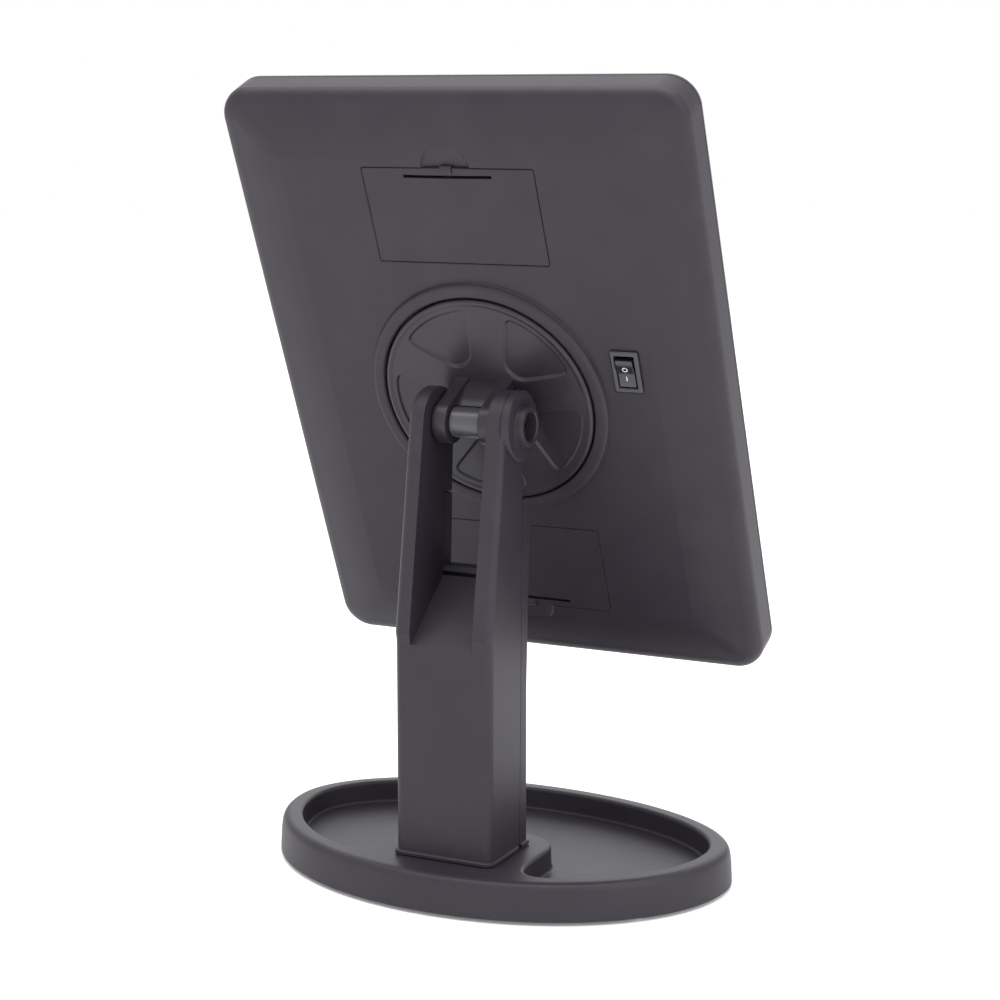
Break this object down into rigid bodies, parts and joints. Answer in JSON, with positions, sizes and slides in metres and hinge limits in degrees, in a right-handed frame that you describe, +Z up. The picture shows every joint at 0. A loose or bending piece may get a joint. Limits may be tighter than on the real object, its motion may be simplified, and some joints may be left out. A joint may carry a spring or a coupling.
{
  "type": "lighted tabletop mirror",
  "caption": "Rectangular battery-lit vanity mirror on a forked column that tilts and swivels, with an oval tray foot for small items.",
  "frame": {"origin": "on the resting plane, under the middle of the foot, at the non-slip pad's lower face", "axes": "+Z up, +Y towards the back of the mirror, +X towards the mirror's left as seen from behind"},
  "size_m": [0.1736, 0.1153, 0.2827],
  "materials": {
    "shell_plastic": "soft-touch matt dark grey",
    "inner_plastic": "plain moulded",
    "black_plastic": "slightly glossy black",
    "rubber_pad": "dull",
    "steel": "zinc plated",
    "brass": "plain",
    "mirror_glass": "silvered",
    "frosted_plastic": "frosted translucent",
    "circuit_board": "solder mask",
    "light_strip": "white solder mask",
    "cell_jacket": "plain sleeve",
    "wire_red": "insulation"
  },
  "bodies": {
    "stand": {"base_tray": "shell_plastic", "base_bottom_cover": "inner_plastic", "ballast_plate": "steel", "non_slip_pad": "rubber_pad", "base_screw_1": "steel", "base_screw_2": "steel", "base_screw_3": "steel", "base_screw_4": "steel", "foot_screw_1": "steel", "foot_screw_2": "steel", "column_rear_shell": "shell_plastic", "column_front_cover": "shell_plastic", "cover_screw_1": "steel", "cover_screw_2": "steel", "pivot_bolt": "steel", "pivot_nut": "steel", "friction_washer_left": "rubber_pad", "friction_washer_right": "rubber_pad"},
    "swivel_bracket": {"swivel_disc": "shell_plastic", "pivot_sleeve": "steel", "arm_bushing_left": "black_plastic", "arm_bushing_right": "black_plastic", "wave_washer": "steel", "disc_retainer": "inner_plastic", "retainer_screw_1": "steel", "retainer_screw_2": "steel", "retainer_screw_3": "steel"},
    "mirror_head": {"rear_cover": "shell_plastic", "front_bezel": "shell_plastic", "mirror_glass": "mirror_glass", "light_diffuser": "frosted_plastic", "light_strip_top": "light_strip", "light_strip_bottom": "light_strip", "light_strip_left": "light_strip", "light_strip_right": "light_strip", "driver_board": "circuit_board", "switch_housing": "black_plastic", "switch_terminal_1": "brass", "switch_terminal_2": "brass", "switch_wire": "wire_red", "battery_tray_upper": "inner_plastic", "battery_cell_upper_1": "cell_jacket", "contact_spring_upper_1": "steel", "contact_plate_upper_1": "steel", "battery_cell_upper_2": "cell_jacket", "contact_spring_upper_2": "steel", "contact_plate_upper_2": "steel", "contact_bridge_upper": "steel", "battery_tray_lower": "inner_plastic", "battery_cell_lower_1": "cell_jacket", "contact_spring_lower_1": "steel", "contact_plate_lower_1": "steel", "battery_cell_lower_2": "cell_jacket", "contact_spring_lower_2": "steel", "contact_plate_lower_2": "steel", "contact_bridge_lower": "steel"},
    "rocker": {"switch_rocker": "black_plastic"},
    "lid_upper": {"battery_lid_upper": "shell_plastic"},
    "lid_lower": {"battery_lid_lower": "shell_plastic"}
  },
  "joints": [
    {"name": "head_tilt", "type": "hinge", "parent": "stand", "child": "swivel_bracket", "pos_m": [0, 0.0171, 0.1651], "axis": [1, 0, 0], "range_deg": [-65, 19.5]},
    {"name": "head_swivel", "type": "hinge", "parent": "swivel_bracket", "child": "mirror_head", "pos_m": [0, 0.00144, 0.17172], "axis": [0, 0.921, -0.3894], "range_deg": [-90, 90]},
    {"name": "rocker_press", "type": "hinge", "parent": "mirror_head", "child": "rocker", "pos_m": [-0.0539, 0.00593, 0.18491], "axis": [1, 0, 0], "range_deg": [0, 18]},
    {"name": "lid_upper_hinge", "type": "hinge", "parent": "mirror_head", "child": "lid_upper", "pos_m": [0, 0.02185, 0.22025], "axis": [-1, 0, 0], "range_deg": [0, 15]},
    {"name": "lid_lower_hinge", "type": "hinge", "parent": "mirror_head", "child": "lid_lower", "pos_m": [0, -0.01916, 0.12327], "axis": [1, 0, 0], "range_deg": [0, 15]}
  ]
}
